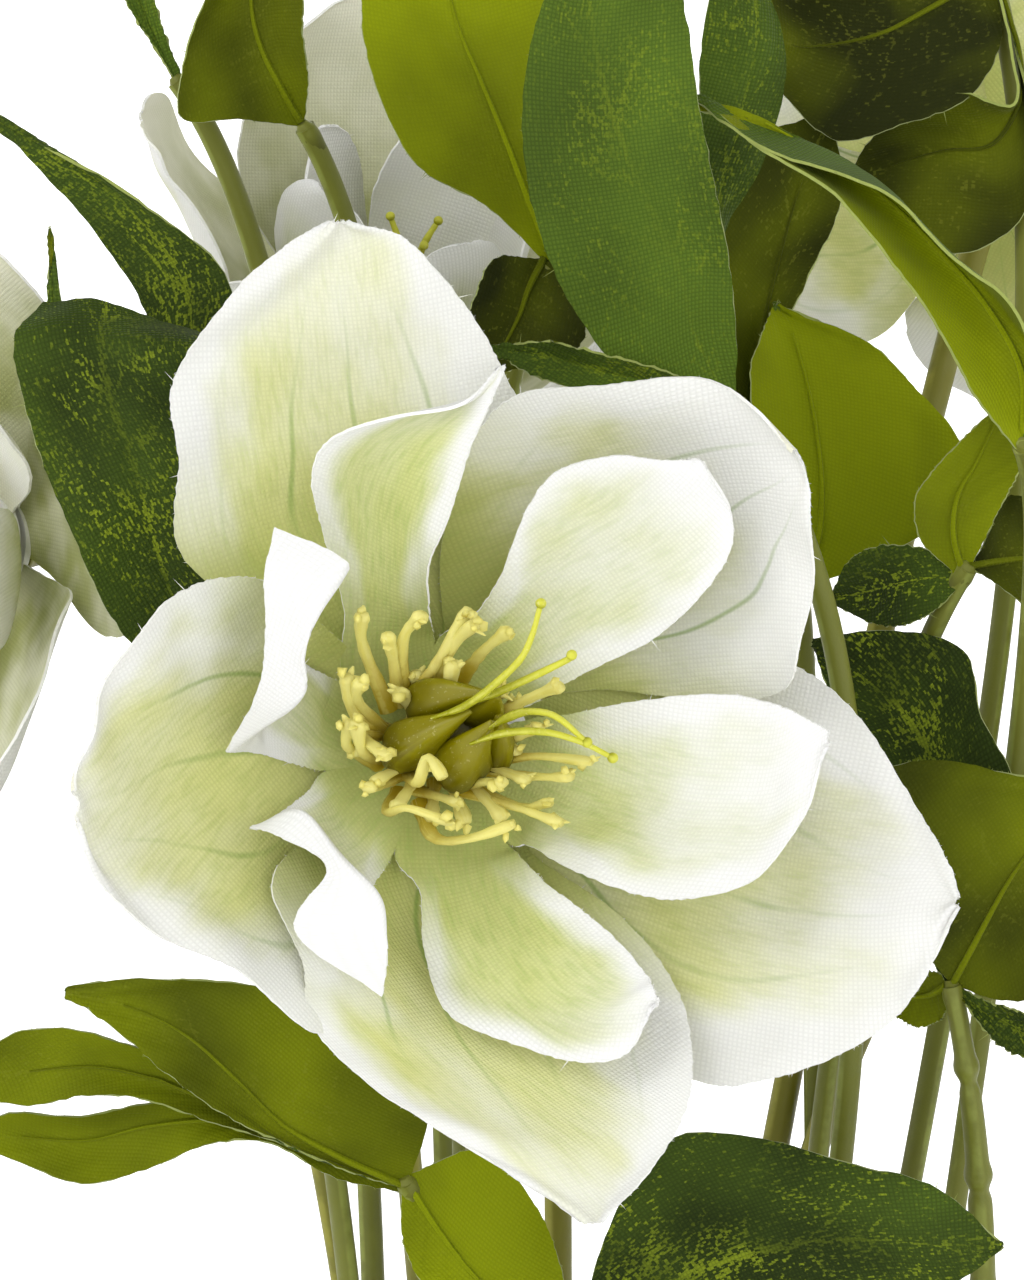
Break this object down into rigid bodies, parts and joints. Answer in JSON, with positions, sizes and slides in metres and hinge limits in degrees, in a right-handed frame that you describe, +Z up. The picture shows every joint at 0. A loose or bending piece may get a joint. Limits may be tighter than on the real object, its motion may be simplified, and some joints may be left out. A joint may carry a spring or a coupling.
{
  "type": "hellebore plant",
  "caption": "Potted artificial hellebore: full white blooms on arching stems over dark evergreen leaves, in a plain round pot.",
  "frame": {"origin": "centre of the pot's underside, where it rests", "axes": "+Z up, -Y towards the side that the front bloom looks to, +X to the right seen from there"},
  "size_m": [0.2017, 0.1801, 0.3803],
  "materials": {
    "pot": "satin moulded plastic, dark grey",
    "soil": "matt crumbly dark brown filling",
    "stem": "moulded olive green plastic with a fine lengthwise ridge",
    "leaf": "stiffened woven cloth printed dark green with light veins, olive underneath",
    "sepal": "stiffened woven cloth, white to pale yellow-green, printed veins",
    "petal": "stiffened woven cloth, white with a green printed throat",
    "stamen": "moulded soft plastic, warm yellow",
    "carpel": "moulded soft plastic, olive green"
  },
  "bodies": {
    "root": {"bloom_back_carpels": "carpel", "bloom_back_petals": "petal", "bloom_back_sepals": "sepal", "bloom_back_stamens": "stamen", "bloom_front_carpels": "carpel", "bloom_front_petals": "petal", "bloom_front_sepals": "sepal", "bloom_front_stamens": "stamen", "bloom_left_carpels": "carpel", "bloom_left_petals": "petal", "bloom_left_sepals": "sepal", "bloom_left_stamens": "stamen", "bloom_right_carpels": "carpel", "bloom_right_petals": "petal", "bloom_right_sepals": "sepal", "bloom_right_stamens": "stamen", "bloom_upper_left_carpels": "carpel", "bloom_upper_left_petals": "petal", "bloom_upper_left_sepals": "sepal", "bloom_upper_left_stamens": "stamen", "bloom_upper_right_carpels": "carpel", "bloom_upper_right_petals": "petal", "bloom_upper_right_sepals": "sepal", "bloom_upper_right_stamens": "stamen", "flower_stem_back": "stem", "flower_stem_front": "stem", "flower_stem_left": "stem", "flower_stem_right": "stem", "flower_stem_upper_left": "stem", "flower_stem_upper_right": "stem", "leaves_far_upper_left": "leaf", "leaves_front_low": "leaf", "leaves_left_high": "leaf", "leaves_left_low": "leaf", "leaves_low_1": "leaf", "leaves_low_2": "leaf", "leaves_low_3": "leaf", "leaves_low_4": "leaf", "leaves_low_5": "leaf", "leaves_low_6": "leaf", "leaves_right_back": "leaf", "leaves_right_high": "leaf", "leaves_right_low": "leaf", "leaves_right_middle": "leaf", "leaves_right_top": "leaf", "leaves_top": "leaf", "leaves_upper_left": "leaf", "leaves_upper_middle": "leaf", "pot": "pot", "soil": "soil"}
  },
  "joints": []
}
